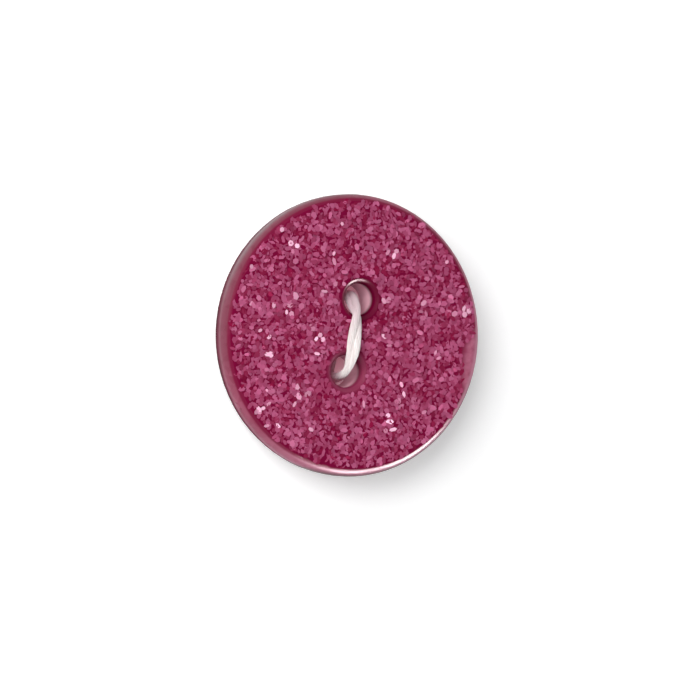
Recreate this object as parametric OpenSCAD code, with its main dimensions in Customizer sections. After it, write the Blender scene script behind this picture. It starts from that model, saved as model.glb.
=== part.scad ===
// Round two-hole sew-through button with the thread stitched through it.
// Millimetres. The seat at the back lies on z = 0, the face looks up, and the holes lie along y.

/* [Button] */
// Outside diameter of the button, mm
button_d = 12.7; // [12:0.1:18]
// Thickness from the seat at the back to the face, mm
button_t = 2.3; // [2.2:0.1:3.2]
// Radius of the roll between the face and the side, mm
face_edge_r = 0.45; // [0.25:0.05:0.5]
// Radius of the roll between the side and the back, mm
back_edge_r = 1.7; // [1.2:0.1:1.7]
// Radius of the hollow turned into the back, mm
dish_r = 10; // [8:0.5:12]

/* [Sewing holes] */
// Distance between the centres of the holes, mm
hole_pitch = 3.3; // [3:0.1:4]
// Diameter of each hole, mm
hole_d = 1.45; // [1.4:0.05:1.7]
// Radius of the rounded edge of each hole at the face, mm
hole_edge_r = 0.3; // [0.2:0.02:0.34]

/* [Thread] */
// Diameter over the twisted thread, mm
thread_d = 0.62; // [0.4:0.02:0.64]
// Diameter of one ply, as a share of the diameter over the thread
ply_share = 0.57; // [0.52:0.01:0.7]
// Half turns of twist round the whole loop
half_turns = 4; // [2:1:8]
// Gap between the thread and what it lies on, mm
thread_gap = 0.03; // [0.02:0.01:0.06]
// Turn of the stitch inside each hole, away from the line through both holes, degrees
stitch_turn = 45; // [0:1:60]
// Radius of the bend behind each hole, mm
back_bend_r = 0.5; // [0.4:0.05:0.6]

/* [Output] */
// Sub-part to draw, or all

/* [Hidden] */
$fn = 96;
button_color = [0.62, 0.12, 0.33];
thread_color = [0.93, 0.90, 0.86];
button_r = button_d / 2;
hole_r = hole_d / 2;
half_pitch = hole_pitch / 2;
// How far past a face each cut runs
cut_past = 1;

// The thread keeps this distance from its centre to the button and to the seat plane
thread_r = thread_d / 2;
clear_r = thread_r + thread_gap;
ply_r = thread_r * ply_share;
ply_out = thread_r - ply_r;

// The hollow is deep enough for the thread to pass under the bar between the holes
bar_half = half_pitch - hole_r;
dish_sag = dish_r - sqrt(dish_r * dish_r - bar_half * bar_half);
dish_depth = 2 * clear_r + dish_sag;

// Points along each stretch of the thread, and points round its section
bridge_steps = 5;
wrap_steps = 6;
drop_steps = 9;
bend_steps = 7;
back_steps = 7;
section_steps = 16;

// Inside each hole the thread slants out to the far wall before it turns back behind the button
room_r = hole_r - clear_r;
run_x = room_r * sin(stitch_turn);
run_y = half_pitch + room_r * cos(stitch_turn);
bend_top = clear_r + back_bend_r;

// It bends over the rounded edge of each hole, from where that edge starts under it
wrap_r = hole_edge_r + clear_r;
wrap_y = half_pitch - sqrt(pow(hole_r + hole_edge_r, 2) - run_x * run_x);
wrap_z = button_t - hole_edge_r;

// At one hole it drops steeply, and at the other it stays high for longer:
// angle down to which it follows the edge, pull of the edge and hold of the far wall on the slant
steep = [35, 0.38, 0.5];
shallow = [68, 0.38, 0.72];

// Cubic curve from a to d with handles b and c, at t from 0 to 1
function cubic(a, b, c, d, t) =
  a * pow(1 - t, 3) + 3 * b * t * pow(1 - t, 2) + 3 * c * t * t * (1 - t) + d * pow(t, 3);

// Half of the route in the y, z plane, from mid bridge to mid back
function half_route(drop) =
  let (
    leave = [wrap_y + wrap_r * cos(drop[0]), wrap_z + wrap_r * sin(drop[0])],
    height = leave[1] - bend_top,
    leave_handle = leave + drop[1] * height * [sin(drop[0]), -cos(drop[0])],
    bend_start = [run_y, bend_top],
    bend_handle = [run_y, bend_top + drop[2] * height]
  )
  concat(
    [for (i = [0:bridge_steps - 1]) [wrap_y * i / bridge_steps, button_t + clear_r]],
    [
      for (i = [0:wrap_steps - 1])
        let (a = 90 - (90 - drop[0]) * i / wrap_steps)
        [wrap_y + wrap_r * cos(a), wrap_z + wrap_r * sin(a)]
    ],
    [for (i = [0:drop_steps - 1]) cubic(leave, leave_handle, bend_handle, bend_start, i / drop_steps)],
    [
      for (i = [0:bend_steps - 1])
        let (a = -90 * i / bend_steps)
        [run_y - back_bend_r + back_bend_r * cos(a), bend_top + back_bend_r * sin(a)]
    ],
    [for (i = [0:back_steps]) [(run_y - back_bend_r) * (1 - i / back_steps), clear_r]]
  );
steep_half = half_route(steep);
shallow_half = half_route(shallow);
half_count = len(steep_half);

// Whole closed route: from the steep hole to the shallow one, leaning to one side on the way
loop_route = concat(
  steep_half,
  [for (i = [half_count - 2:-1:1]) [-shallow_half[i][0], shallow_half[i][1]]]
);
loop_count = len(loop_route);
route = [for (p = loop_route) [-run_x * (1 + p[0] / run_y) / 2, p[0], p[1]]];
function after(i) = (i + 1) % loop_count;
function before(i) = (i + loop_count - 1) % loop_count;
function unit(v) = v / norm(v);
function tangent(i) = unit(route[after(i)] - route[before(i)]);
function across(i) = let (t = tangent(i)) unit([1, 0, 0] - t[0] * t);

// Length of the route up to each point, so the twist is even
route_length = [
  for (i = 0, run = 0; i <= loop_count; run = run + norm(route[after(i)] - route[i % loop_count]), i = i + 1) run
];

// Outline of two round plies side by side, at angle a from the line through both
function ply_outline(a) =
  ply_out * abs(cos(a)) + sqrt(ply_r * ply_r - pow(ply_out * sin(a), 2));

function ring(i) =
  let (
    side = across(i),
    up = cross(tangent(i), side),
    twist = 180 * half_turns * route_length[i] / route_length[loop_count]
  )
  [
    for (k = [0:section_steps - 1])
      let (a = 360 * k / section_steps)
      route[i] + ply_outline(a) * (side * cos(a + twist) + up * sin(a + twist))
  ];

// The twist ends some half turns on, so the last ring joins the first at a shifted point
seam_shift = (half_turns % 2) * section_steps / 2;
function ring_point(i, k) =
  let (shift = i == loop_count ? seam_shift : 0)
  (i % loop_count) * section_steps + (k + shift) % section_steps;

// Turned section of the button, before the hollow
module button_section() {
  difference() {
    square([button_r, button_t]);
    translate([button_r - face_edge_r, button_t - face_edge_r])
      difference() {
        square(face_edge_r + cut_past);
        circle(r = face_edge_r);
      }
    translate([button_r - back_edge_r, back_edge_r])
      mirror([0, 1])
        difference() {
          square(back_edge_r + cut_past);
          circle(r = back_edge_r);
        }
  }
}

// One sewing hole with its rounded edge at the face, as a solid to cut away
module hole_cut() {
  translate([0, 0, -cut_past])
    cylinder(r = hole_r, h = button_t + 2 * cut_past);
  translate([0, 0, button_t - hole_edge_r])
    rotate_extrude()
      difference() {
        square([hole_r + hole_edge_r, hole_edge_r + cut_past]);
        translate([hole_r + hole_edge_r, 0])
          circle(r = hole_edge_r);
      }
}

module button() {
  color(button_color)
    difference() {
      rotate_extrude()
        button_section();
      translate([0, 0, dish_depth - dish_r])
        sphere(r = dish_r);
      for (side = [-1, 1])
        translate([0, side * half_pitch, 0])
          hole_cut();
    }
}

module thread() {
  color(thread_color)
    polyhedron(
      points = [for (i = [0:loop_count - 1]) each ring(i)],
      faces = [
        for (i = [0:loop_count - 1], k = [0:section_steps - 1], half = [0:1])
          half == 0
            ? [ring_point(i, k), ring_point(i + 1, k), ring_point(i + 1, k + 1)]
            : [ring_point(i, k), ring_point(i + 1, k + 1), ring_point(i, k + 1)]
      ]
    );
}

button();
thread();
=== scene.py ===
"""Looks of a round glitter button and its stitched thread, laid out as an add-on."""

import math

import bmesh
import bpy
from mathutils import Matrix, Vector


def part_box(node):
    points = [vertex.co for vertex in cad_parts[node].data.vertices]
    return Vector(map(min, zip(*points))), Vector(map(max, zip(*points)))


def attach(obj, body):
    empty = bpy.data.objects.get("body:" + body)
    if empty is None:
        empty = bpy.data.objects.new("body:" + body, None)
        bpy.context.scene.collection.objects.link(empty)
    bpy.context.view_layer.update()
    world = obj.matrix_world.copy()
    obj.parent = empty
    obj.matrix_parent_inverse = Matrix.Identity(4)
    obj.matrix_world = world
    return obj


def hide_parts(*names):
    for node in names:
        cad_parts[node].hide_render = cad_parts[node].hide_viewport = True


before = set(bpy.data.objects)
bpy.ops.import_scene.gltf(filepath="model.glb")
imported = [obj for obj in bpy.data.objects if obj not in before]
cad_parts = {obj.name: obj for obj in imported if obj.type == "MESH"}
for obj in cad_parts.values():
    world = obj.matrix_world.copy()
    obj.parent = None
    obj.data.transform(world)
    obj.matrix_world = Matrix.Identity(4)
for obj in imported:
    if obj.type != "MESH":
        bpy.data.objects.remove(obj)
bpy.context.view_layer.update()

bl_info = {
    "name": "Glitter Button",
    "version": (1, 0, 0),
    "blender": (4, 5, 0),
    "location": "3D View > Sidebar > Button",
    "description": "Dresses a sew-through button in resin, glitter flakes and twisted thread",
    "category": "Object",
}

MM = 0.001
BODY = "root"
WHITE = (1.0, 1.0, 1.0, 1.0)
BLACK = (0.0, 0.0, 0.0, 1.0)

# Sizes of the turned button, read from the frame or repeated from the part's source
BUTTON_LOW, BUTTON_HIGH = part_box("button")
BUTTON_RADIUS = (BUTTON_HIGH.x - BUTTON_LOW.x) / 2
FACE_HEIGHT = BUTTON_HIGH.z
FACE_EDGE = 0.45 * MM
HOLE_OFFSET = 1.65 * MM
HOLE_RADIUS = 0.725 * MM
HOLE_EDGE = 0.30 * MM
HOLE_RIM = HOLE_RADIUS + HOLE_EDGE

# Sizes of the thread, repeated from the part's source; a drop has an angle, a pull and a hold
THREAD_RADIUS = 0.31 * MM
THREAD_GAP = 0.03 * MM
STITCH_TURN = math.radians(45)
PLIES = 2
PLY_SHARE = 0.57
HALF_TURNS = 4
BACK_BEND = 0.5 * MM
STEEP_DROP = (math.radians(35), 0.38, 0.5)
SHALLOW_DROP = (math.radians(68), 0.38, 0.72)

# Sides of the button: an angle round it, and the cosines away from it between which a look fades in
# Painted glow: one side of the rolled edge is painted lighter pink, standing in for light through the
# resin
GLOW_SIDE = (math.radians(-36), -0.2, 0.8)
# Painted reflection: a pale grey veil on one side of the wall
VEIL_SIDE = (math.radians(133), 0.62, 0.98)
# Painted shade: the rolled edge is painted darker on one side
SHADE_SIDE = (math.radians(150), 0.3, 0.8)
# Painted shade: on this side the darker backing rises up the roll as a dark line along the outer edge
SHADE_LINE_SIDE = (math.radians(-52), 0.45, 0.80)

# Depths under the face between which a look fades in
BACKING_DEPTHS = (0.90 * MM, 0.55 * MM)
FACE_DEPTHS = (0.26 * FACE_EDGE, 0.12 * FACE_EDGE)
VEIL_DEPTHS = (0.14 * MM, 0.40 * MM)
LIP_DEPTHS = (3.0 * HOLE_EDGE, 2.0 * HOLE_EDGE)
BORE_DEPTHS = (HOLE_EDGE, 2.5 * HOLE_EDGE)
SATIN_DEPTHS = (0.45 * MM, 0.90 * MM)
COAT_DEPTHS = (0.008 * MM, 0.024 * MM)
POLISH_DEPTHS = (0.75 * MM, 0.45 * MM)
SUNK_DEPTHS = (-0.05 * MM, 0.50 * MM)
HOLE_TINT_DEPTHS = (0.50 * MM, 1.10 * MM)

# Distances from a hole's axis between which a look fades in
LIP_REACH = (HOLE_RIM + 0.1 * MM, HOLE_RADIUS + 0.6 * HOLE_EDGE)
BORE_REACH = (HOLE_RADIUS + 0.06 * MM, HOLE_RADIUS + 0.02 * MM)

# Uneven looks: size of the grain, and the least and greatest value
VEIL_MOTTLE = (1.1 * MM, 0.75, 1.0)
BACKING_MOTTLE = (1.6 * MM, 0.0, 0.30)
BARE_MOTTLE = (0.4 * MM, 0.50, 1.0)
POLISH_MOTTLE = (0.9 * MM, 0.22, 0.32)
FILM_MOTTLE = (0.15 * MM, 0.28, 0.42)
BLOTCH_MOTTLE = (0.12 * MM, 0.0, 0.35)
YARN_MOTTLE = (0.2 * MM, 0.65, 0.85)
FIBRE_MOTTLE = (0.03 * MM, 0.0, 1.0)
PAPER_MOTTLE = (0.8 * MM, 0.985, 1.0)

# Resin: flecks in the rolled edge, the share of painted shade on one side of it, how far the backing rises
# as a painted shade line and how far the roll's painted glow rises, the painted shade round the upper
# hole, and the polish
FLECK_WIDTH = 0.28 * MM
FLECK_SHARE = 0.35
SHADE_SIDE_SHARE = 0.65
SHADE_LINE_RISE = 0.55 * MM
GLOW_BAND_RISE = 0.045 * MM
LIP_SHADE = 0.7
LIP_TURN = (-0.9, 0.2)
LOWER_HOLE = (0.5 * MM, -0.5 * MM)
SATIN_ROUGHNESS = 0.25
BORE_ROUGHNESS = 0.3
COAT_WEIGHT = 0.6
COAT_LOSS_AT_LIP = 0.25
COAT_ROUGHNESS = 0.28
RESIN_IOR = 1.5

# Crescent at one side of the face where the flakes didn't settle: the middle and radius of its circle
BARE_MIDDLE = (BUTTON_RADIUS + 2.4 * MM, 0.0, FACE_HEIGHT)
BARE_RADIUS = 3.3 * MM
BARE_FADE = (BARE_RADIUS + 0.20 * MM, BARE_RADIUS - 0.45 * MM)
BARE_RAGGED = 1.5

# Where the flakes settled, how ragged that area's edge is, and how near the holes they come
SETTLED_MIDDLE = (0.0, 0.035 * MM, 0.0)
SETTLED_RADIUS = BUTTON_RADIUS - FACE_EDGE + 0.115 * MM
SETTLED_LIMIT = BUTTON_RADIUS - 0.35 * MM
RIM_RAGGED = (-0.16 * MM, 0.07 * MM)
RIM_DRIFT = 0.3 * MM
RIM_DRIFT_GRAIN = 1.1 * MM
HOLE_LIMITS = (HOLE_RIM - 0.04 * MM, HOLE_RIM + 0.05 * MM)
HOLE_SHIFT = 0.05 * MM

# Flakes: how many are tried to a square metre, their film, their depths, shapes and painted shades
FLAKES_TRIED = 4.0e8
FLAKE_SIDES = 6
FILM_THICKNESS = 0.006 * MM
FLAKE_DEPTHS = (-0.008 * MM, 0.022 * MM)
FLAKE_SCALES = ((0.6, 0.45, 1.0), (1.4, 1.0, 1.0))
FILM_LEANS = ((-0.3, -0.3, 0.0), (0.3, 0.3, 0.0))
PATCH_GRAIN = 0.9 * MM
PATCH_SHARE = 0.35
TOP_SHADES = (0.88, 1.0)
TOP_LIFT = 0.025 * MM
LIGHT_POSITION = 0.88
BRIGHT_POSITION = 0.955
SHADE_RANGE = 0.965
FILM_METALLIC = 0.025

# Seeds of the random draws
HOLE_SEED = 3
RIM_SEED = 5
DEPTH_SEED = 17
LEAN_SEED = 23
SCALE_SEED = 29
SHADE_SEED = 31
FILM_SEED = 37
STRAND_SEED = 41

# Surface under the flakes: steps round it, rings on the flat and on the roll, and how far round the roll
SHEET_STEPS = 96
SHEET_RINGS = 8
FLAT_RINGS = 6
ROLL_RINGS = 4
SHEET_ROLL = math.radians(42)

# Thread: its strands and their darker tone, its end with painted shade, the stretch inside the holes with
# painted shade and painted light, and its fibres
STRAND_SHARE = 0.30
STRAND_SIDES = 6
CORE_SIDES = 8
ROUTE_POINTS = 260
CURVE_STEPS = 40
SHADED_SHARES = (0.84, 0.80, 0.80)
SHADED_END_REACH = (-0.4 * MM, 1.5 * MM)
SHADED_END_SHARE = 0.75
BACK_HEIGHTS = (0.5 * MM, 0.8 * MM)
FIBRE_STRENGTH = 0.4
FIBRE_RELIEF = 0.02 * MM
SHEEN_WEIGHT = 0.25
SHEEN_ROUGHNESS = 0.5

# Floor: its size and finish, then radii and strengths of the light that the camera sees on it: a painted
# pink glow under the button, a painted glow near its edge, and plain white further out
FLOOR_HALF = 0.6
FLOOR_DROP = 0.01 * MM
FLOOR_ROUGHNESS = 0.9
FLOOR_SPECULAR = 0.1
UNDER_RADII = (0.60 * BUTTON_RADIUS, 0.80 * BUTTON_RADIUS)
CLEAR_RADII = (0.7 * BUTTON_RADIUS, 0.9 * BUTTON_RADIUS)
NEAR_RADII = (1.3 * BUTTON_RADIUS, BUTTON_RADIUS)
FAR_RADII = (2.0 * BUTTON_RADIUS, 12.0 * BUTTON_RADIUS)
UNDER_GLOW = 0.28
UNDER_LOSS = 0.08
CLEAR_GLOW = 0.04
# Painted glow round the button's edge, lightening its shadow there
NEAR_GLOW = 0.13
FAR_GLOW = 0.7

# Room light: heights between which it dims, how it falls off, and its colour overhead
ROOM_HEIGHTS = (0.02, 0.9)
ROOM_FALL = 0.5
ROOM_ZENITH = (0.20, 0.20, 0.205, 1.0)

# Lamps: degrees round the picture from its right and above the floor, distance, width and height in
# metres, watts, and the rays that don't see each; the panes and the strip only show in glossy surfaces
LAMPS = (
    ("key", 154, 48, 0.14, 0.085, 0.085, 0.185, "visible_glossy"),
    ("strip", -52, 28, 0.12, 0.17, 0.09, 0.16, "visible_diffuse"),
    ("pane", -68, 24, 0.11, 0.036, 0.055, 0.20, "visible_diffuse"),
    ("side_pane", -41, 22, 0.11, 0.044, 0.060, 0.32, "visible_diffuse"),
)

# Camera: width that the picture covers, how far its middle lies off the button's, and the sensor
PICTURE_WIDTH = 31.75 * MM
PICTURE_RIGHT = 0.755 * MM
PICTURE_DOWN = 0.658 * MM
SENSOR_WIDTH = 36.0
CLIP_START = 0.001
CLIP_END = 10.0

# What the settings of one kind share
COLOUR = {"subtype": "COLOR", "size": 4, "min": 0.0, "max": 1.0}
LENGTH = {"subtype": "DISTANCE", "unit": "LENGTH", "min": 0.05 * MM, "max": 1.0 * MM}
ANGLE = {"subtype": "ANGLE", "unit": "ROTATION"}


class ResinSettings(bpy.types.PropertyGroup):
    """Colours of the cast resin."""

    deep_colour: bpy.props.FloatVectorProperty(
        name="Deep colour",
        description="Resin seen in the gaps between the flakes and round the upper hole",
        default=(0.19, 0.004, 0.038, 1.0),
        **COLOUR,
    )
    rim_colour: bpy.props.FloatVectorProperty(
        name="Rim colour",
        description="Resin of the rolled edge",
        default=(0.24, 0.036, 0.075, 1.0),
        **COLOUR,
    )
    # Painted glow: lighter pink on one side of the rolled edge, standing in for light through the resin;
    # the rim's flecks lighten toward it too
    glow_side_colour: bpy.props.FloatVectorProperty(
        name="Clear colour",
        description="Resin of the rolled edge on the side where it is clearest",
        default=(0.55, 0.185, 0.285, 1.0),
        **COLOUR,
    )
    # Painted shade: darker colour of the rolled edge on one side
    shade_side_colour: bpy.props.FloatVectorProperty(
        name="Dull colour",
        description="Resin of the rolled edge on the side where it is dullest",
        default=(0.13, 0.025, 0.042, 1.0),
        **COLOUR,
    )
    # Painted reflection: a pale grey veil on one side of the rolled edge's wall
    veil_colour: bpy.props.FloatVectorProperty(
        name="Frosted colour",
        description="Resin of the rolled edge on the side where it is frosted",
        default=(0.20, 0.12, 0.135, 1.0),
        **COLOUR,
    )
    backing_colour: bpy.props.FloatVectorProperty(
        name="Backing colour",
        description="Darker resin under the glitter layer",
        default=(0.10, 0.045, 0.055, 1.0),
        **COLOUR,
    )
    lip_colour: bpy.props.FloatVectorProperty(
        name="Lip colour",
        description="Rounded edge of the lower hole",
        default=(0.25, 0.032, 0.08, 1.0),
        **COLOUR,
    )
    bore_colour: bpy.props.FloatVectorProperty(
        name="Bore colour",
        description="Frosted wall that the drill leaves in the holes",
        default=(0.78, 0.47, 0.54, 1.0),
        **COLOUR,
    )
    # Painted glow: emission in the bores, standing in for light through the resin
    bore_glow_colour: bpy.props.FloatVectorProperty(
        name="Glow colour",
        description="Light that comes through the resin into the holes",
        default=(0.055, 0.022, 0.032, 1.0),
        **COLOUR,
    )


class GlitterSettings(bpy.types.PropertyGroup):
    """Size, spread and colours of the flakes."""

    width: bpy.props.FloatProperty(
        name="Flake width",
        description="Width of a flake across its corners",
        default=0.29 * MM,
        **LENGTH,
    )
    spacing: bpy.props.FloatProperty(
        name="Least spacing",
        description="Least distance between the middles of two flakes",
        default=0.125 * MM,
        **LENGTH,
    )
    tilt: bpy.props.FloatProperty(
        name="Tilt",
        description="Most that a flake leans out of the face",
        default=math.radians(12),
        min=0.0,
        max=math.radians(40),
        **ANGLE,
    )
    seed: bpy.props.IntProperty(
        name="Seed",
        description="Seed of the spread",
        default=27,
        min=0,
    )
    # Painted light: these colours stand in for how much light each flake catches
    dark_colour: bpy.props.FloatVectorProperty(
        name="Dark flakes",
        description="Colour of the flakes that catch least light",
        default=(0.235, 0.008, 0.045, 1.0),
        **COLOUR,
    )
    light_colour: bpy.props.FloatVectorProperty(
        name="Light flakes",
        description="Colour of the flakes that catch much light",
        default=(0.49, 0.108, 0.228, 1.0),
        **COLOUR,
    )
    bright_colour: bpy.props.FloatVectorProperty(
        name="Bright flakes",
        description="Colour of the few flakes that are brighter still",
        default=(0.56, 0.15, 0.28, 1.0),
        **COLOUR,
    )
    # Painted glint on the few flakes that flash
    glint_colour: bpy.props.FloatVectorProperty(
        name="Sparks",
        description="Colour of the flakes that flash",
        default=(1.0, 0.55, 0.74, 1.0),
        **COLOUR,
    )


class ThreadSettings(bpy.types.PropertyGroup):
    """Make-up and colours of the thread."""

    strands: bpy.props.IntProperty(
        name="Strands",
        description="Strands that show in each ply",
        default=10,
        min=4,
        max=24,
    )
    strand_turns: bpy.props.FloatProperty(
        name="Strand turns",
        description="Turns that the strands of a ply make along the whole loop",
        default=4.0,
        min=0.0,
        max=40.0,
    )
    colour: bpy.props.FloatVectorProperty(
        name="Thread colour",
        description="Off-white of the thread",
        default=(0.94, 0.89, 0.87, 1.0),
        **COLOUR,
    )
    # Painted shade on the thread at one end and just inside the holes
    thread_shade_colour: bpy.props.FloatVectorProperty(
        name="Grubby colour",
        description="Thread at its grubby end and just inside the holes",
        default=(0.60, 0.42, 0.47, 1.0),
        **COLOUR,
    )
    # Painted light: paler pink on the thread deep inside the holes
    hole_tint_colour: bpy.props.FloatVectorProperty(
        name="Dusty colour",
        description="Thread deep inside the holes, with dust from the bores on it",
        default=(0.84, 0.55, 0.62, 1.0),
        **COLOUR,
    )


class StageSettings(bpy.types.PropertyGroup):
    """Camera and floor."""

    elevation: bpy.props.FloatProperty(
        name="Camera elevation",
        description="Angle of the camera above the floor",
        default=math.radians(65.5),
        **ANGLE,
    )
    turn: bpy.props.FloatProperty(
        name="Turn",
        description="Turn of the hole line from upright in the picture",
        default=math.radians(11.2),
        **ANGLE,
    )
    lens: bpy.props.FloatProperty(
        name="Lens",
        description="Focal length of the camera, in millimetres",
        default=200.0,
        min=20.0,
        max=400.0,
    )
    floor_colour: bpy.props.FloatVectorProperty(
        name="Floor colour",
        description="Colour of the paper that the button lies on",
        default=(0.93, 0.93, 0.93, 1.0),
        **COLOUR,
    )
    # Painted glow: pink light on the paper under the button, seen through its holes
    under_glow_colour: bpy.props.FloatVectorProperty(
        name="Colour under the button",
        description="Tint of the light that comes through the button to the paper",
        default=(1.0, 0.32, 0.44, 1.0),
        **COLOUR,
    )


def add_node(tree, kind, **settings):
    """Adds a node of one kind to a tree and sets its properties."""
    made = tree.nodes.new(kind)
    for name, value in settings.items():
        setattr(made, name, value)
    return made


def feed(tree, socket, source):
    """Links a socket to its source, or sets it where the source is a plain value."""
    if isinstance(source, bpy.types.NodeSocket):
        tree.links.new(source, socket)
    else:
        socket.default_value = source


def shown(sockets):
    """Returns the sockets that a node shows for its kind of data."""
    return [socket for socket in sockets if socket.enabled]


def maths(tree, operation, *sources):
    """Adds a Math node and returns its result."""
    made = add_node(tree, "ShaderNodeMath", operation=operation)
    for socket, source in zip(made.inputs, sources):
        feed(tree, socket, source)
    return made.outputs["Value"]


def vector_node(tree, operation, *sources):
    """Adds a Vector Math node with its vectors and returns it."""
    made = add_node(tree, "ShaderNodeVectorMath", operation=operation)
    for socket, source in zip(made.inputs, sources):
        feed(tree, socket, source)
    return made


def vector_maths(tree, operation, *sources):
    """Adds a Vector Math node and returns its vector."""
    return vector_node(tree, operation, *sources).outputs["Vector"]


def scaled(tree, vector, factor):
    """Returns a vector times a number."""
    made = vector_node(tree, "SCALE", vector)
    feed(tree, made.inputs["Scale"], factor)
    return made.outputs["Vector"]


def length_of(tree, vector):
    """Returns the length of a vector."""
    return vector_node(tree, "LENGTH", vector).outputs["Value"]


def ramp(tree, value, low, high, smooth=True):
    """Returns 0 below low and 1 above high, or the other way round where low is greater."""
    made = add_node(tree, "ShaderNodeMapRange")
    made.interpolation_type = "SMOOTHSTEP" if smooth else "LINEAR"
    feed(tree, made.inputs["Value"], value)
    feed(tree, made.inputs["From Min"], low)
    feed(tree, made.inputs["From Max"], high)
    return made.outputs["Result"]


def by_depth(tree, height, start, end):
    """Returns 0 at one depth under the face and 1 at another."""
    return ramp(tree, height, FACE_HEIGHT - start, FACE_HEIGHT - end)


def on_side(tree, outward, side):
    """Returns how far a level direction lies within one side of the button, from 0 to 1."""
    angle, low, high = side
    middle = (math.cos(angle), math.sin(angle), 0.0)
    return ramp(tree, vector_node(tree, "DOT_PRODUCT", outward, middle).outputs["Value"], low, high)


def blend_colours(tree, factor, first, second, mode="MIX"):
    """Returns a mix of two colours."""
    made = add_node(tree, "ShaderNodeMix", data_type="RGBA", blend_type=mode)
    for socket, source in zip(shown(made.inputs), (factor, first, second)):
        feed(tree, socket, source)
    return shown(made.outputs)[0]


def split(tree, vector):
    """Returns the three parts of a vector."""
    parts = add_node(tree, "ShaderNodeSeparateXYZ")
    feed(tree, parts.inputs["Vector"], vector)
    return parts.outputs["X"], parts.outputs["Y"], parts.outputs["Z"]


def object_place(tree):
    """Returns the place on the piece, in its own coordinates."""
    return add_node(tree, "ShaderNodeTexCoord").outputs["Object"]


def hole_distance(tree, x, y):
    """Returns the distance to the axis of the nearer hole."""
    along = maths(tree, "SUBTRACT", maths(tree, "ABSOLUTE", y), HOLE_OFFSET)
    flat = add_node(tree, "ShaderNodeCombineXYZ")
    feed(tree, flat.inputs["X"], x)
    feed(tree, flat.inputs["Y"], along)
    return length_of(tree, flat.outputs["Vector"])


def new_material(name):
    """Makes a material with a lone Principled shader and returns it, its tree and the shader."""
    material = bpy.data.materials.new(name)
    material.use_nodes = True
    tree = material.node_tree
    shader = tree.nodes["Principled BSDF"]
    return material, tree, shader


def mottle_group():
    """Returns the shared group that gives soft, uneven variation at a chosen grain size."""
    name = "mottle"
    detail = 3.0
    noise_range = (0.3, 0.7)
    if name in bpy.data.node_groups:
        return bpy.data.node_groups[name]
    group = bpy.data.node_groups.new(name, "ShaderNodeTree")
    for label in ("Grain", "Low", "High"):
        group.interface.new_socket(label, in_out="INPUT", socket_type="NodeSocketFloat")
    group.interface.new_socket("Value", in_out="OUTPUT", socket_type="NodeSocketFloat")
    entry = add_node(group, "NodeGroupInput")
    leave = add_node(group, "NodeGroupOutput")
    noise = add_node(group, "ShaderNodeTexNoise")
    noise.inputs["Detail"].default_value = detail
    feed(group, noise.inputs["Vector"], object_place(group))
    feed(group, noise.inputs["Scale"], maths(group, "DIVIDE", 1.0, entry.outputs["Grain"]))
    spread = add_node(group, "ShaderNodeMapRange")
    feed(group, spread.inputs["Value"], noise.outputs["Fac"])
    spread.inputs["From Min"].default_value = noise_range[0]
    spread.inputs["From Max"].default_value = noise_range[1]
    feed(group, spread.inputs["To Min"], entry.outputs["Low"])
    feed(group, spread.inputs["To Max"], entry.outputs["High"])
    feed(group, leave.inputs["Value"], spread.outputs["Result"])
    return group


def mottle(tree, grain, low, high):
    """Places the shared variation in a material and returns its value."""
    made = add_node(tree, "ShaderNodeGroup", node_tree=mottle_group())
    made.inputs["Grain"].default_value = grain
    made.inputs["Low"].default_value = low
    made.inputs["High"].default_value = high
    return made.outputs["Value"]


def rim_resin(tree, settings, place, height, outward, clear):
    """Returns the colour of the rolled edge, which differs from side to side: painted glow, painted shade
    and a painted grey reflection, with lighter flecks.
    """
    flecks = add_node(tree, "ShaderNodeTexVoronoi")
    feed(tree, flecks.inputs["Vector"], place)
    flecks.inputs["Scale"].default_value = 1.0 / FLECK_WIDTH
    fleck_shade = maths(tree, "MULTIPLY", flecks.outputs["Color"], FLECK_SHARE)
    # Painted shade on one side of the roll
    rim_shade = maths(tree, "MULTIPLY", on_side(tree, outward, SHADE_SIDE), SHADE_SIDE_SHARE)
    # Painted reflection: a mottled pale grey veil on one side, below the top of the roll
    veil = maths(tree, "MULTIPLY", on_side(tree, outward, VEIL_SIDE), mottle(tree, *VEIL_MOTTLE))
    veil = maths(tree, "MULTIPLY", veil, by_depth(tree, height, *VEIL_DEPTHS))
    # Painted glow on one side of the roll, and flecks that lighten toward it
    rim = blend_colours(tree, clear, settings.rim_colour, settings.glow_side_colour)
    rim = blend_colours(tree, fleck_shade, rim, settings.glow_side_colour)
    rim = blend_colours(tree, rim_shade, rim, settings.shade_side_colour)
    return blend_colours(tree, veil, rim, settings.veil_colour)


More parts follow.
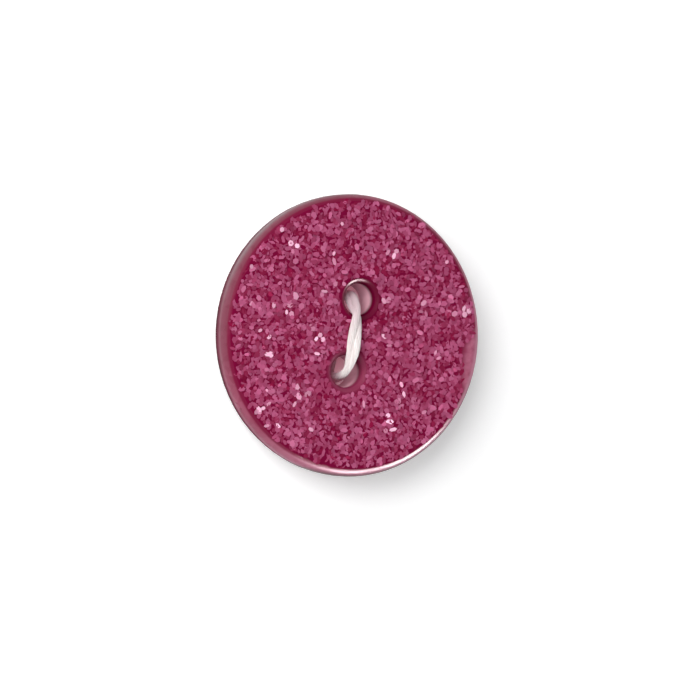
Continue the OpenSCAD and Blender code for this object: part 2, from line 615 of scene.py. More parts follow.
def body_resin(tree, settings, place, height):
    """Returns the colour of the button outside its holes: a glitter layer on a darker backing, with a
    painted shade line and painted glow on sides of the rolled edge.
    """
    outward = vector_maths(tree, "NORMALIZE", vector_maths(tree, "MULTIPLY", place, (1.0, 1.0, 0.0)))
    # Painted glow: where the rolled edge is painted lighter pink
    clear = on_side(tree, outward, GLOW_SIDE)
    rim = rim_resin(tree, settings, place, height, outward, clear)
    cloud = mottle(tree, *BACKING_MOTTLE)
    backing = blend_colours(tree, cloud, settings.backing_colour, settings.rim_colour)
    # Painted shade: the backing rises on one side, as a dark line along the outer edge
    shade_rise = maths(tree, "MULTIPLY", on_side(tree, outward, SHADE_LINE_SIDE), SHADE_LINE_RISE)
    layer = by_depth(tree, maths(tree, "SUBTRACT", height, shade_rise), *BACKING_DEPTHS)
    side = blend_colours(tree, layer, backing, rim)
    # On the side of the painted glow, the roll's lighter colour reaches further up toward the flat face
    edge = maths(tree, "SUBTRACT", height, maths(tree, "MULTIPLY", clear, GLOW_BAND_RISE))
    face = by_depth(tree, edge, *FACE_DEPTHS)
    # Where no flakes settled, the roll's colour shows, with the painted glow of that side
    to_bare = length_of(tree, vector_maths(tree, "SUBTRACT", place, BARE_MIDDLE))
    bare = maths(tree, "MULTIPLY", ramp(tree, to_bare, *BARE_FADE), mottle(tree, *BARE_MOTTLE))
    under = blend_colours(tree, bare, settings.deep_colour, rim)
    return blend_colours(tree, face, side, under)


def resin_material(settings):
    """Glossy resin: crimson under the flakes, pinker at the roll, darker below and pale in the bores, with
    painted glow, shade and reflection in places.
    """
    material, tree, shader = new_material("glitter_resin")
    place = object_place(tree)
    x, y, height = split(tree, place)
    body = body_resin(tree, settings, place, height)

    # Rounded edges of the holes at the face, with painted shade on one side of the upper one
    to_axis = hole_distance(tree, x, y)
    lower = ramp(tree, y, *LOWER_HOLE)
    shaded_side = ramp(tree, maths(tree, "DIVIDE", x, to_axis), *LIP_TURN)
    shaded_side = maths(tree, "MAXIMUM", shaded_side, lower)
    at_face = by_depth(tree, height, *LIP_DEPTHS)
    lip = maths(tree, "MULTIPLY", at_face, shaded_side)
    lip = maths(tree, "MULTIPLY", ramp(tree, to_axis, *LIP_REACH), lip)
    upper_lip = tuple(LIP_SHADE * part for part in settings.deep_colour[:3]) + (1.0,)
    lip_colour = blend_colours(tree, lower, upper_lip, settings.lip_colour)
    body = blend_colours(tree, lip, body, lip_colour)

    # Frosted bores, with a painted glow that stands in for light coming through the resin
    bore = ramp(tree, to_axis, *BORE_REACH)
    bore_depth = by_depth(tree, height, *BORE_DEPTHS)
    bore_wall = blend_colours(tree, bore_depth, lip_colour, settings.bore_colour)
    feed(tree, shader.inputs["Base Color"], blend_colours(tree, bore, body, bore_wall))
    through = maths(tree, "MULTIPLY", bore, bore_depth)
    feed(tree, shader.inputs["Emission Color"], blend_colours(tree, through, BLACK, settings.bore_glow_colour))
    shader.inputs["Emission Strength"].default_value = 1.0

    # Polished at the roll, satin below it and rough where the drill went through
    satin = maths(tree, "MULTIPLY", by_depth(tree, height, *SATIN_DEPTHS), SATIN_ROUGHNESS)
    worn = maths(tree, "ADD", satin, maths(tree, "MULTIPLY", bore, BORE_ROUGHNESS))
    feed(tree, shader.inputs["Roughness"], maths(tree, "ADD", mottle(tree, *POLISH_MOTTLE), worn))
    polished = maths(tree, "SUBTRACT", by_depth(tree, height, *POLISH_DEPTHS), bore)
    shine = maths(tree, "MULTIPLY", polished, by_depth(tree, height, *COAT_DEPTHS))
    weight = maths(tree, "SUBTRACT", COAT_WEIGHT, maths(tree, "MULTIPLY", lip, COAT_LOSS_AT_LIP))
    shine = maths(tree, "MULTIPLY", maths(tree, "MAXIMUM", shine, 0.0), weight)
    feed(tree, shader.inputs["Coat Weight"], shine)
    shader.inputs["Coat Roughness"].default_value = COAT_ROUGHNESS
    shader.inputs["Coat IOR"].default_value = RESIN_IOR
    shader.inputs["Specular IOR Level"].default_value = 0.0
    shader.inputs["IOR"].default_value = RESIN_IOR
    return material


def flake_material(settings):
    """Pink glitter film: each flake has a painted shade of its own, up to a few painted glints, and a lean
    of its own.
    """
    material, tree, shader = new_material("glitter_flake")
    shade = add_node(tree, "ShaderNodeAttribute", attribute_name="flake_shade")
    lean = add_node(tree, "ShaderNodeAttribute", attribute_name="flake_lean")
    # Painted light: the ramp runs from dark flakes to painted glints
    tones = add_node(tree, "ShaderNodeValToRGB")
    steps = tones.color_ramp.elements
    steps[0].position = 0.0
    steps[0].color = settings.dark_colour
    steps[1].position = LIGHT_POSITION
    steps[1].color = settings.light_colour
    steps.new(BRIGHT_POSITION).color = settings.bright_colour
    steps.new(1.0).color = settings.glint_colour
    feed(tree, tones.inputs["Fac"], maths(tree, "MULTIPLY", shade.outputs["Fac"], SHADE_RANGE))
    feed(tree, shader.inputs["Base Color"], tones.outputs["Color"])

    # The film's own lean is larger than its geometry's, because the resin over it is flat
    surface = add_node(tree, "ShaderNodeNewGeometry")
    leaning = vector_maths(tree, "ADD", surface.outputs["Normal"], lean.outputs["Vector"])
    feed(tree, shader.inputs["Normal"], vector_maths(tree, "NORMALIZE", leaning))
    feed(tree, shader.inputs["Roughness"], mottle(tree, *FILM_MOTTLE))
    shader.inputs["Metallic"].default_value = FILM_METALLIC
    shader.inputs["Specular IOR Level"].default_value = 0.0
    return material


def thread_material(settings):
    """Off-white spun thread: streaks along the strands, painted shade at one end and just inside the
    holes, painted pink light deeper in them, and a soft sheen.
    """
    material, tree, shader = new_material("spun_thread")
    strand = add_node(tree, "ShaderNodeAttribute", attribute_name="strand_shade")
    shaded = tuple(part * share for part, share in zip(settings.colour, SHADED_SHARES)) + (1.0,)
    streaks = blend_colours(tree, strand.outputs["Fac"], shaded, settings.colour)
    spun = blend_colours(tree, mottle(tree, *BLOTCH_MOTTLE), streaks, shaded)

    # Painted shade at one end and just inside the holes, and paler painted pink light deeper in them
    y, height = split(tree, object_place(tree))[1:]
    darkened = maths(tree, "MULTIPLY", ramp(tree, y, *SHADED_END_REACH), SHADED_END_SHARE)
    spun = blend_colours(tree, darkened, spun, settings.thread_shade_colour)
    sunk = by_depth(tree, height, *SUNK_DEPTHS)
    inside = maths(tree, "MULTIPLY", sunk, ramp(tree, height, *BACK_HEIGHTS))
    deep = by_depth(tree, height, *HOLE_TINT_DEPTHS)
    hole_shading = blend_colours(tree, deep, settings.thread_shade_colour, settings.hole_tint_colour)
    feed(tree, shader.inputs["Base Color"], blend_colours(tree, inside, spun, hole_shading))
    feed(tree, shader.inputs["Roughness"], mottle(tree, *YARN_MOTTLE))
    fibre = add_node(tree, "ShaderNodeBump")
    fibre.inputs["Strength"].default_value = FIBRE_STRENGTH
    fibre.inputs["Distance"].default_value = FIBRE_RELIEF
    feed(tree, fibre.inputs["Height"], mottle(tree, *FIBRE_MOTTLE))
    feed(tree, shader.inputs["Normal"], fibre.outputs["Normal"])
    shader.inputs["Sheen Weight"].default_value = SHEEN_WEIGHT
    shader.inputs["Sheen Roughness"].default_value = SHEEN_ROUGHNESS
    return material


def floor_material(settings):
    """White paper: takes the shadow, and shows white where nothing shades it, with a painted glow under
    and near the button.
    """
    material, tree, shader = new_material("white_paper")
    grain = mottle(tree, *PAPER_MOTTLE)
    grey = add_node(tree, "ShaderNodeCombineColor")
    for socket in grey.inputs:
        feed(tree, socket, grain)
    paper = blend_colours(tree, 1.0, settings.floor_colour, grey.outputs["Color"], "MULTIPLY")
    feed(tree, shader.inputs["Base Color"], paper)
    shader.inputs["Roughness"].default_value = FLOOR_ROUGHNESS
    shader.inputs["Specular IOR Level"].default_value = FLOOR_SPECULAR

    # Rays from the camera see some light as well: a painted pink glow under the button, a painted glow
    # near its edge, and plain white further out
    from_middle = length_of(tree, object_place(tree))
    plain = ramp(tree, from_middle, *UNDER_RADII)
    clear = ramp(tree, from_middle, *CLEAR_RADII)
    near = maths(tree, "MULTIPLY", ramp(tree, from_middle, *NEAR_RADII), clear)
    far = ramp(tree, from_middle, *FAR_RADII)
    glow = maths(tree, "SUBTRACT", UNDER_GLOW, maths(tree, "MULTIPLY", plain, UNDER_LOSS))
    for mask, strength in ((clear, CLEAR_GLOW), (far, FAR_GLOW), (near, NEAR_GLOW)):
        glow = maths(tree, "ADD", glow, maths(tree, "MULTIPLY", mask, strength))
    rays = add_node(tree, "ShaderNodeLightPath")
    seen = maths(tree, "MAXIMUM", rays.outputs["Is Camera Ray"], rays.outputs["Is Glossy Ray"])
    seen = maths(tree, "MAXIMUM", seen, rays.outputs["Is Transmission Ray"])
    light = add_node(tree, "ShaderNodeEmission")
    feed(tree, light.inputs["Color"], blend_colours(tree, plain, settings.under_glow_colour, WHITE))
    feed(tree, light.inputs["Strength"], maths(tree, "MULTIPLY", seen, glow))
    both = add_node(tree, "ShaderNodeAddShader")
    feed(tree, both.inputs[0], shader.outputs["BSDF"])
    feed(tree, both.inputs[1], light.outputs["Emission"])
    feed(tree, tree.nodes["Material Output"].inputs["Surface"], both.outputs["Shader"])
    return material


def new_tree(name, inputs):
    """Makes a geometry tree with named inputs and returns it, its input node and its output node."""
    tree = bpy.data.node_groups.new(name, "GeometryNodeTree")
    tree.interface.new_socket("Geometry", in_out="INPUT", socket_type="NodeSocketGeometry")
    for label, kind in inputs:
        tree.interface.new_socket(label, in_out="INPUT", socket_type=kind)
    tree.interface.new_socket("Geometry", in_out="OUTPUT", socket_type="NodeSocketGeometry")
    entry = add_node(tree, "NodeGroupInput")
    leave = add_node(tree, "NodeGroupOutput")
    return tree, entry, leave


def grown_mesh(name, start, tree, values):
    """Runs a geometry tree on a start mesh and returns a new plain mesh object at the origin."""
    maker = bpy.data.objects.new(name + "_maker", start)
    bpy.context.scene.collection.objects.link(maker)
    grow = maker.modifiers.new("grow", "NODES")
    grow.node_group = tree
    for item in tree.interface.items_tree:
        if item.in_out == "INPUT" and item.name in values:
            grow[item.identifier] = values[item.name]
    graph = bpy.context.evaluated_depsgraph_get()
    mesh = bpy.data.meshes.new_from_object(maker.evaluated_get(graph), depsgraph=graph)
    mesh.name = name
    maker.modifiers.remove(grow)
    bpy.data.objects.remove(maker)
    bpy.data.meshes.remove(start)
    piece = bpy.data.objects.new(name, mesh)
    bpy.context.scene.collection.objects.link(piece)
    return piece


def random_value(tree, kind, low, high, seed, number=None):
    """Adds a Random Value node, for each element or for its number, and returns its result."""
    made = add_node(tree, "FunctionNodeRandomValue", data_type=kind)
    for socket, source in zip(shown(made.inputs), (low, high)):
        feed(tree, socket, source)
    if number is not None:
        feed(tree, made.inputs["ID"], number)
    feed(tree, made.inputs["Seed"], seed)
    return shown(made.outputs)[0]


def uneven(tree, grain, size):
    """Returns a soft variation over the place, of a grain and a size."""
    noise = add_node(tree, "ShaderNodeTexNoise")
    noise.inputs["Scale"].default_value = 1.0 / grain
    return maths(tree, "MULTIPLY", maths(tree, "SUBTRACT", noise.outputs["Fac"], 0.5), size)


def named_value(tree, name):
    """Returns a number that is stored on the geometry under a name."""
    made = add_node(tree, "GeometryNodeInputNamedAttribute", data_type="FLOAT")
    made.inputs["Name"].default_value = name
    return made.outputs["Attribute"]


def kept_attribute(tree, geometry, name, value, kind, domain):
    """Stores a named attribute on a geometry and returns the geometry."""
    made = add_node(tree, "GeometryNodeStoreNamedAttribute", data_type=kind, domain=domain)
    made.inputs["Name"].default_value = name
    feed(tree, made.inputs["Geometry"], geometry)
    feed(tree, made.inputs["Value"], value)
    return made.outputs["Geometry"]


def moved(tree, geometry, offset):
    """Moves the points of a geometry and returns it."""
    made = add_node(tree, "GeometryNodeSetPosition")
    feed(tree, made.inputs["Geometry"], geometry)
    feed(tree, made.inputs["Offset"], offset)
    return made.outputs["Geometry"]


def finished(tree, geometry, material, leave):
    """Ends a geometry tree: real meshes in one material."""
    real = add_node(tree, "GeometryNodeRealizeInstances")
    feed(tree, real.inputs["Geometry"], geometry)
    dressed = add_node(tree, "GeometryNodeSetMaterial")
    feed(tree, dressed.inputs["Geometry"], real.outputs["Geometry"])
    feed(tree, dressed.inputs["Material"], material)
    feed(tree, leave.inputs["Geometry"], dressed.outputs["Geometry"])


def face_sheet():
    """Surface that the flakes lie on: the flat face and the start of its rolled edge."""
    roll_middle = BUTTON_RADIUS - FACE_EDGE
    profile = [(BUTTON_RADIUS * k / SHEET_RINGS, FACE_HEIGHT) for k in range(1, FLAT_RINGS + 1)]
    for k in range(ROLL_RINGS + 1):
        angle = SHEET_ROLL * k / ROLL_RINGS
        drop = FACE_EDGE * (1 - math.cos(angle))
        profile.append((roll_middle + FACE_EDGE * math.sin(angle), FACE_HEIGHT - drop))
    points = [(0.0, 0.0, FACE_HEIGHT)]
    for radius, height in profile:
        for k in range(SHEET_STEPS):
            angle = math.tau * k / SHEET_STEPS
            points.append((radius * math.cos(angle), radius * math.sin(angle), height))
    faces = [(0, 1 + k, 1 + (k + 1) % SHEET_STEPS) for k in range(SHEET_STEPS)]
    for ring in range(len(profile) - 1):
        inner = 1 + ring * SHEET_STEPS
        outer = inner + SHEET_STEPS
        for k in range(SHEET_STEPS):
            after = (k + 1) % SHEET_STEPS
            faces.append((inner + k, outer + k, outer + after, inner + after))
    sheet = bpy.data.meshes.new("face_sheet")
    sheet.from_pydata(points, [], faces)
    return sheet


def unsettled(tree, position):
    """Returns 1 where no flake lies: at a hole's edge, past the ragged rim or in the bare crescent."""
    x, y = split(tree, position)[:2]
    hole_limit = random_value(tree, "FLOAT", *HOLE_LIMITS, HOLE_SEED)
    to_axis = hole_distance(tree, maths(tree, "ADD", x, HOLE_SHIFT), y)
    near_hole = maths(tree, "LESS_THAN", to_axis, hole_limit)
    ragged = random_value(tree, "FLOAT", *RIM_RAGGED, RIM_SEED)
    wander = maths(tree, "ADD", ragged, uneven(tree, RIM_DRIFT_GRAIN, RIM_DRIFT))
    rim_limit = maths(tree, "MINIMUM", maths(tree, "ADD", SETTLED_RADIUS, wander), SETTLED_LIMIT)
    from_middle = vector_maths(tree, "SUBTRACT", position, SETTLED_MIDDLE)
    to_middle = length_of(tree, vector_maths(tree, "MULTIPLY", from_middle, (1.0, 1.0, 0.0)))
    past_rim = maths(tree, "GREATER_THAN", to_middle, rim_limit)
    to_bare = length_of(tree, vector_maths(tree, "SUBTRACT", position, BARE_MIDDLE))
    bare_limit = maths(tree, "ADD", BARE_RADIUS, maths(tree, "MULTIPLY", wander, BARE_RAGGED))
    in_bare = maths(tree, "LESS_THAN", to_bare, bare_limit)
    return maths(tree, "MAXIMUM", near_hole, maths(tree, "MAXIMUM", past_rim, in_bare))


def flake_turn(tree, tilt, face_rotation):
    """Returns each flake's rotation: a random lean and turn out of the face."""
    least = add_node(tree, "ShaderNodeCombineXYZ")
    most = add_node(tree, "ShaderNodeCombineXYZ")
    back = maths(tree, "MULTIPLY", tilt, -1.0)
    for axis in ("X", "Y"):
        feed(tree, least.inputs[axis], back)
        feed(tree, most.inputs[axis], tilt)
    most.inputs["Z"].default_value = math.tau
    lean = random_value(tree, "FLOAT_VECTOR", least.outputs["Vector"], most.outputs["Vector"], LEAN_SEED)
    turned = add_node(tree, "FunctionNodeEulerToRotation")
    feed(tree, turned.inputs["Euler"], lean)
    rotated = add_node(tree, "FunctionNodeRotateRotation", rotation_space="LOCAL")
    feed(tree, rotated.inputs["Rotation"], face_rotation)
    feed(tree, rotated.inputs["Rotate By"], turned.outputs["Rotation"])
    return rotated.outputs["Rotation"]


def flake_tree():
    """Spreads thin six-sided flakes over the face, clear of the holes, with a ragged outer edge."""
    tree, entry, leave = new_tree(
        "glitter_flakes",
        [
            ("Width", "NodeSocketFloat"),
            ("Spacing", "NodeSocketFloat"),
            ("Tilt", "NodeSocketFloat"),
            ("Seed", "NodeSocketInt"),
            ("Material", "NodeSocketMaterial"),
        ],
    )
    spread = add_node(tree, "GeometryNodeDistributePointsOnFaces", distribute_method="POISSON")
    feed(tree, spread.inputs["Mesh"], entry.outputs["Geometry"])
    feed(tree, spread.inputs["Distance Min"], entry.outputs["Spacing"])
    spread.inputs["Density Max"].default_value = FLAKES_TRIED
    feed(tree, spread.inputs["Seed"], entry.outputs["Seed"])
    position = add_node(tree, "GeometryNodeInputPosition").outputs["Position"]
    cleared = add_node(tree, "GeometryNodeDeleteGeometry", domain="POINT")
    feed(tree, cleared.inputs["Geometry"], spread.outputs["Points"])
    feed(tree, cleared.inputs["Selection"], unsettled(tree, position))

    # Painted shades, standing in for the light each flake catches, gather in patches, and each flake
    # differs from the next
    own = random_value(tree, "FLOAT", 0.0, 1.0, SHADE_SEED)
    shade = maths(tree, "ADD", own, uneven(tree, PATCH_GRAIN, PATCH_SHARE))
    shaded = kept_attribute(tree, cleared.outputs["Geometry"], "flake_shade", shade, "FLOAT", "POINT")

    # Flakes overlap at a few depths, so each lies whole over or under its neighbours, the brightest on top
    depth = random_value(tree, "FLOAT", *FLAKE_DEPTHS, DEPTH_SEED)
    on_top = ramp(tree, named_value(tree, "flake_shade"), *TOP_SHADES)
    depth = maths(tree, "ADD", depth, maths(tree, "MULTIPLY", on_top, TOP_LIFT))
    lifted = moved(tree, shaded, scaled(tree, spread.outputs["Normal"], depth))

    hexagon = add_node(tree, "GeometryNodeMeshCylinder", fill_type="NGON")
    hexagon.inputs["Vertices"].default_value = FLAKE_SIDES
    feed(tree, hexagon.inputs["Radius"], maths(tree, "MULTIPLY", entry.outputs["Width"], 0.5))
    hexagon.inputs["Depth"].default_value = FILM_THICKNESS
    flakes = add_node(tree, "GeometryNodeInstanceOnPoints")
    feed(tree, flakes.inputs["Points"], lifted)
    feed(tree, flakes.inputs["Instance"], hexagon.outputs["Mesh"])
    rotation = flake_turn(tree, entry.outputs["Tilt"], spread.outputs["Rotation"])
    feed(tree, flakes.inputs["Rotation"], rotation)
    feed(tree, flakes.inputs["Scale"], random_value(tree, "FLOAT_VECTOR", *FLAKE_SCALES, SCALE_SEED))
    lean = random_value(tree, "FLOAT_VECTOR", *FILM_LEANS, FILM_SEED)
    leaning = kept_attribute(
        tree, flakes.outputs["Instances"], "flake_lean", lean, "FLOAT_VECTOR", "INSTANCE"
    )
    finished(tree, leaning, entry.outputs["Material"], leave)
    return tree


def cubic(first, second, third, last, t):
    """Point on a cubic curve at t from 0 to 1."""
    near = 1 - t
    return first * near**3 + second * 3 * t * near**2 + third * 3 * t * t * near + last * t**3


def around(middle, radius, angle):
    """Point on a circle at an angle."""
    return middle + radius * Vector((math.cos(angle), math.sin(angle)))


def half_route(drop):
    """Half of the thread's route across and up, from mid bridge to mid back, as in the part's source."""
    leave_angle, pull, hold = drop
    clear = THREAD_RADIUS + THREAD_GAP
    room = HOLE_RADIUS - clear
    lean = room * math.sin(STITCH_TURN)
    run = HOLE_OFFSET + room * math.cos(STITCH_TURN)
    bend_top = clear + BACK_BEND
    bend_middle = Vector((run - BACK_BEND, bend_top))
    wrap_radius = HOLE_EDGE + clear
    wrap_start = HOLE_OFFSET - math.sqrt(HOLE_RIM**2 - lean**2)
    wrap_middle = Vector((wrap_start, FACE_HEIGHT - HOLE_EDGE))
    leaving = around(wrap_middle, wrap_radius, leave_angle)
    height = leaving.y - bend_top
    leaving_handle = leaving + pull * height * Vector((math.sin(leave_angle), -math.cos(leave_angle)))
    bend_start = Vector((run, bend_top))
    bend_handle = Vector((run, bend_top + hold * height))
    half = [Vector((0.0, FACE_HEIGHT + clear))]
    for k in range(CURVE_STEPS):
        angle = math.pi / 2 - (math.pi / 2 - leave_angle) * k / CURVE_STEPS
        half.append(around(wrap_middle, wrap_radius, angle))
    for k in range(CURVE_STEPS):
        half.append(cubic(leaving, leaving_handle, bend_handle, bend_start, k / CURVE_STEPS))
    for k in range(CURVE_STEPS + 1):
        half.append(around(bend_middle, BACK_BEND, -math.pi / 2 * k / CURVE_STEPS))
    half.append(Vector((0.0, clear)))
    return half, lean, run


def thread_route():
    """Closed route of the thread's middle, as in the part's source, at even steps along its length."""
    steep, lean, run = half_route(STEEP_DROP)
    shallow = half_route(SHALLOW_DROP)[0]
    flat = steep + [Vector((-p.x, p.y)) for p in reversed(shallow[1:-1])]
    loop = [Vector((-lean * (1 + p.x / run) / 2, p.x, p.y)) for p in flat]
    loop.append(loop[0])
    lengths = [0.0]
    for a, b in zip(loop, loop[1:]):
        lengths.append(lengths[-1] + (b - a).length)
    even = []
    piece = 0
    for k in range(ROUTE_POINTS):
        wanted = lengths[-1] * k / ROUTE_POINTS
        while lengths[piece + 1] < wanted:
            piece += 1
        share = (wanted - lengths[piece]) / (lengths[piece + 1] - lengths[piece])
        even.append(loop[piece].lerp(loop[piece + 1], share))
    return even


def route_mesh(points):
    """Closed line of edges along a route, with each point's share of the way round."""
    count = len(points)
    line = bpy.data.meshes.new("thread_route")
    line.from_pydata(points, [(k, (k + 1) % count) for k in range(count)], [])
    share = line.attributes.new("along", "FLOAT", "POINT")
    for k in range(count):
        share.data[k].value = k / count
    return line


def wound(tree, curves, along, copies, radius, turns):
    """Copies each curve, winds the copies round it and returns them."""
    sideways = (1.0, 0.0, 0.0)
    many = add_node(tree, "GeometryNodeDuplicateElements", domain="SPLINE")
    feed(tree, many.inputs["Geometry"], curves)
    feed(tree, many.inputs["Amount"], copies)
    number = many.outputs["Duplicate Index"]
    tangent = add_node(tree, "GeometryNodeInputTangent").outputs["Tangent"]
    over = vector_node(tree, "DOT_PRODUCT", tangent, sideways).outputs["Value"]
    side = vector_maths(tree, "SUBTRACT", sideways, scaled(tree, tangent, over))
    side = vector_maths(tree, "NORMALIZE", side)
    up = vector_maths(tree, "CROSS_PRODUCT", tangent, side)
    start = maths(tree, "DIVIDE", maths(tree, "MULTIPLY", number, math.tau), copies)
    turned = maths(tree, "MULTIPLY", maths(tree, "MULTIPLY", along, math.tau), turns)
    angle = maths(tree, "ADD", start, turned)
    across = scaled(tree, side, maths(tree, "COSINE", angle))
    upward = scaled(tree, up, maths(tree, "SINE", angle))
    offset = scaled(tree, vector_maths(tree, "ADD", across, upward), radius)
    return moved(tree, many.outputs["Geometry"], offset)


def tube(tree, curves, radius, sides):
    """Sweeps a round section along curves and returns the mesh."""
    section = add_node(tree, "GeometryNodeCurvePrimitiveCircle")
    section.inputs["Resolution"].default_value = sides
    feed(tree, section.inputs["Radius"], radius)
    swept = add_node(tree, "GeometryNodeCurveToMesh")
    feed(tree, swept.inputs["Curve"], curves)
    feed(tree, swept.inputs["Profile Curve"], section.outputs["Curve"])
    return swept.outputs["Mesh"]


def thread_tree():
    """Twists plies round the route and strands round each ply."""
    tree, entry, leave = new_tree(
        "twisted_thread",
        [
            ("Ply Radius", "NodeSocketFloat"),
            ("Ply Offset", "NodeSocketFloat"),
            ("Ply Turns", "NodeSocketFloat"),
            ("Strands", "NodeSocketInt"),
            ("Strand Radius", "NodeSocketFloat"),
            ("Strand Turns", "NodeSocketFloat"),
            ("Material", "NodeSocketMaterial"),
        ],
    )
    given = entry.outputs
    along = named_value(tree, "along")
    line = add_node(tree, "GeometryNodeMeshToCurve")
    feed(tree, line.inputs["Mesh"], given["Geometry"])
    plies = wound(tree, line.outputs["Curve"], along, PLIES, given["Ply Offset"], given["Ply Turns"])
    ring = maths(tree, "SUBTRACT", given["Ply Radius"], given["Strand Radius"])
    strands = wound(tree, plies, along, given["Strands"], ring, given["Strand Turns"])

    # Each strand has a shade of its own
    number = add_node(tree, "GeometryNodeInputIndex").outputs["Index"]
    shade = random_value(tree, "FLOAT", 0.0, 1.0, STRAND_SEED, number)
    shaded = kept_attribute(tree, strands, "strand_shade", shade, "FLOAT", "CURVE")
    core = tube(tree, plies, ring, CORE_SIDES)
    both = add_node(tree, "GeometryNodeJoinGeometry")
    feed(tree, both.inputs["Geometry"], tube(tree, shaded, given["Strand Radius"], STRAND_SIDES))
    feed(tree, both.inputs["Geometry"], core)
    smooth = add_node(tree, "GeometryNodeSetShadeSmooth")
    feed(tree, smooth.inputs["Geometry"], both.outputs["Geometry"])
    finished(tree, smooth.outputs["Geometry"], given["Material"], leave)
    return tree


def ride_as(piece, slot, *nodes):
    """Hands a finished piece to the frame, in place of the nodes that it stands for."""
    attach(piece, BODY)
    if nodes:
        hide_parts(*nodes)


class BUTTON_OT_resin(bpy.types.Operator):
    """Give the turned button its resin"""

    bl_idname = "button.resin"
    bl_label = "Resin"

    def execute(self, context):
        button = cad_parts["button"]
        button.data.materials.clear()
        button.data.materials.append(resin_material(context.scene.button_resin))
        return {"FINISHED"}


class BUTTON_OT_glitter(bpy.types.Operator):
    """Spread the glitter flakes over the face"""

    bl_idname = "button.glitter"
    bl_label = "Glitter"

    def execute(self, context):
        settings = context.scene.button_glitter
        flakes = grown_mesh(
            "glitter",
            face_sheet(),
            flake_tree(),
            {
                "Width": settings.width,
                "Spacing": settings.spacing,
                "Tilt": settings.tilt,
                "Seed": settings.seed,
                "Material": flake_material(settings),
            },
        )
        ride_as(flakes, "button")
        return {"FINISHED"}


class BUTTON_OT_thread(bpy.types.Operator):
    """Twist the thread through the holes"""

    bl_idname = "button.thread"
    bl_label = "Thread"

    def execute(self, context):
        settings = context.scene.button_thread
        ply = THREAD_RADIUS * PLY_SHARE
        thread = grown_mesh(
            "stitched_thread",
            route_mesh(thread_route()),
            thread_tree(),
            {
                "Ply Radius": ply,
                "Ply Offset": THREAD_RADIUS - ply,
                "Ply Turns": HALF_TURNS / 2,
                "Strands": settings.strands,
                "Strand Radius": ply * STRAND_SHARE,
                "Strand Turns": -settings.strand_turns,
                "Material": thread_material(settings),
            },
        )
        ride_as(thread, "thread", "thread")
        return {"FINISHED"}


class BUTTON_OT_stage(bpy.types.Operator):
    """Set the floor, the light and the camera"""

    bl_idname = "button.stage"
    bl_label = "Stage"

    def execute(self, context):
        settings = context.scene.button_stage
        picture_right = Vector((math.cos(settings.turn), math.sin(settings.turn), 0.0))
        picture_up = Vector((-math.sin(settings.turn), math.cos(settings.turn), 0.0))
        lay_floor(settings)
        set_world()
        set_lamps(picture_right, picture_up)
        set_camera(settings, picture_right, picture_up)
        context.scene.view_settings.view_transform = "Standard"
        return {"FINISHED"}


def lay_floor(settings):
    """Lays a sheet of white paper under the button."""
    work = bmesh.new()
    bmesh.ops.create_grid(work, x_segments=1, y_segments=1, size=FLOOR_HALF)
    bmesh.ops.translate(work, verts=work.verts, vec=(0.0, 0.0, -FLOOR_DROP))
    paper = bpy.data.meshes.new("floor")
    work.to_mesh(paper)
    work.free()
    floor = bpy.data.objects.new("floor", paper)
    floor.data.materials.append(floor_material(settings))
    bpy.context.scene.collection.objects.link(floor)


def set_world():
    """Soft room light: white at the horizon and dimmer overhead."""
    world = bpy.data.worlds.new("soft_room")
    bpy.context.scene.world = world
    world.use_nodes = True
    tree = world.node_tree
    place = add_node(tree, "ShaderNodeTexCoord")
    height = split(tree, place.outputs["Generated"])[2]
    dimming = maths(tree, "POWER", ramp(tree, height, *ROOM_HEIGHTS, smooth=False), ROOM_FALL)
    room = blend_colours(tree, dimming, WHITE, ROOM_ZENITH)
    feed(tree, tree.nodes["Background"].inputs["Color"], room)


def aimed(right, up, side, rise):
    """Direction at an angle round the picture from its right, and at a height above the floor."""
    level = right * math.cos(side) + up * math.sin(side)
    return level * math.cos(rise) + Vector((0.0, 0.0, 1.0)) * math.sin(rise)


def set_lamps(right, up):
    """Sets a soft key at the picture's upper left and panes along its lower edge, facing the button."""
    for name, side, rise, distance, width, height, power, unseen in LAMPS:
        toward = aimed(right, up, math.radians(side), math.radians(rise))
        data = bpy.data.lights.new(name, "AREA")
        data.shape = "RECTANGLE"
        data.size = width
        data.size_y = height
        data.energy = power
        lamp = bpy.data.objects.new(name, data)
        bpy.context.scene.collection.objects.link(lamp)
        lamp.location = toward.normalized() * distance
        lamp.rotation_euler = toward.to_track_quat("Z", "Y").to_euler()
        setattr(lamp, unseen, False)


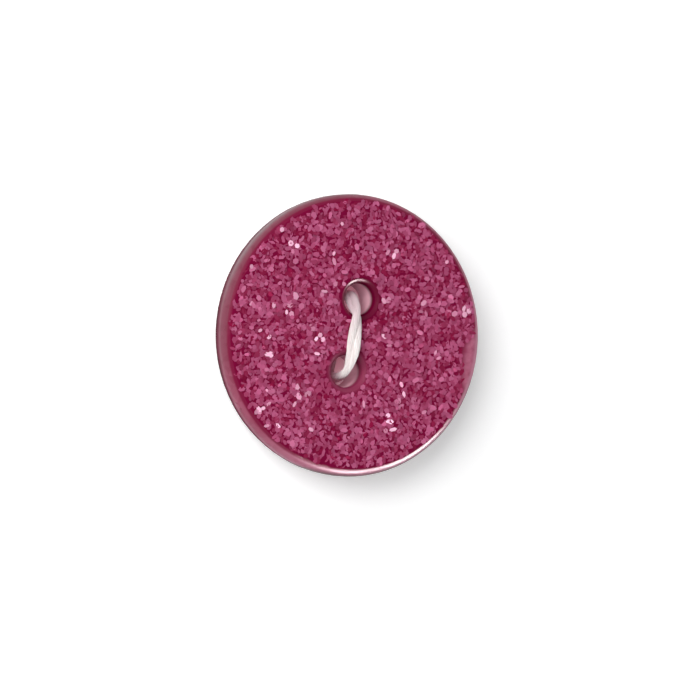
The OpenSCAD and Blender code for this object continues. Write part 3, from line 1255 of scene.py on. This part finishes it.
def set_camera(settings, right, up):
    """Points a camera at the button from the picture's left, as in the photograph."""
    rise = settings.elevation
    back = -right * math.cos(rise) + Vector((0.0, 0.0, 1.0)) * math.sin(rise)
    picture_x = up.cross(back)
    data = bpy.data.cameras.new("camera")
    data.lens = settings.lens
    data.sensor_width = SENSOR_WIDTH
    data.clip_start = CLIP_START
    data.clip_end = CLIP_END
    camera = bpy.data.objects.new("camera", data)
    bpy.context.scene.collection.objects.link(camera)
    aim = PICTURE_RIGHT * picture_x - PICTURE_DOWN * up
    distance = PICTURE_WIDTH * settings.lens / SENSOR_WIDTH
    turn = Matrix((picture_x, up, back)).transposed().to_4x4()
    camera.matrix_world = Matrix.Translation(aim + back * distance) @ turn
    bpy.context.scene.camera = camera


class VIEW3D_PT_glitter_button(bpy.types.Panel):
    """Lists the steps that dress the button"""

    bl_label = "Glitter Button"
    bl_space_type = "VIEW_3D"
    bl_region_type = "UI"
    bl_category = "Button"

    def draw(self, context):
        layout = self.layout
        for step in STEPS:
            layout.operator(step.bl_idname)


STEPS = (BUTTON_OT_stage, BUTTON_OT_resin, BUTTON_OT_glitter, BUTTON_OT_thread)
SETTINGS = (
    ("button_resin", ResinSettings),
    ("button_glitter", GlitterSettings),
    ("button_thread", ThreadSettings),
    ("button_stage", StageSettings),
)


def register():
    """Registers the settings, the steps and the panel."""
    for name, kind in SETTINGS:
        bpy.utils.register_class(kind)
        setattr(bpy.types.Scene, name, bpy.props.PointerProperty(type=kind))
    for step in STEPS:
        bpy.utils.register_class(step)
    bpy.utils.register_class(VIEW3D_PT_glitter_button)


def unregister():
    """Takes the panel, the steps and the settings away again."""
    bpy.utils.unregister_class(VIEW3D_PT_glitter_button)
    for step in reversed(STEPS):
        bpy.utils.unregister_class(step)
    for name, kind in reversed(SETTINGS):
        delattr(bpy.types.Scene, name)
        bpy.utils.unregister_class(kind)


def main():
    """Dresses the button step by step."""
    register()
    bpy.ops.button.stage()
    bpy.ops.button.resin()
    bpy.ops.button.glitter()
    bpy.ops.button.thread()


if __name__ == "__main__":
    main()
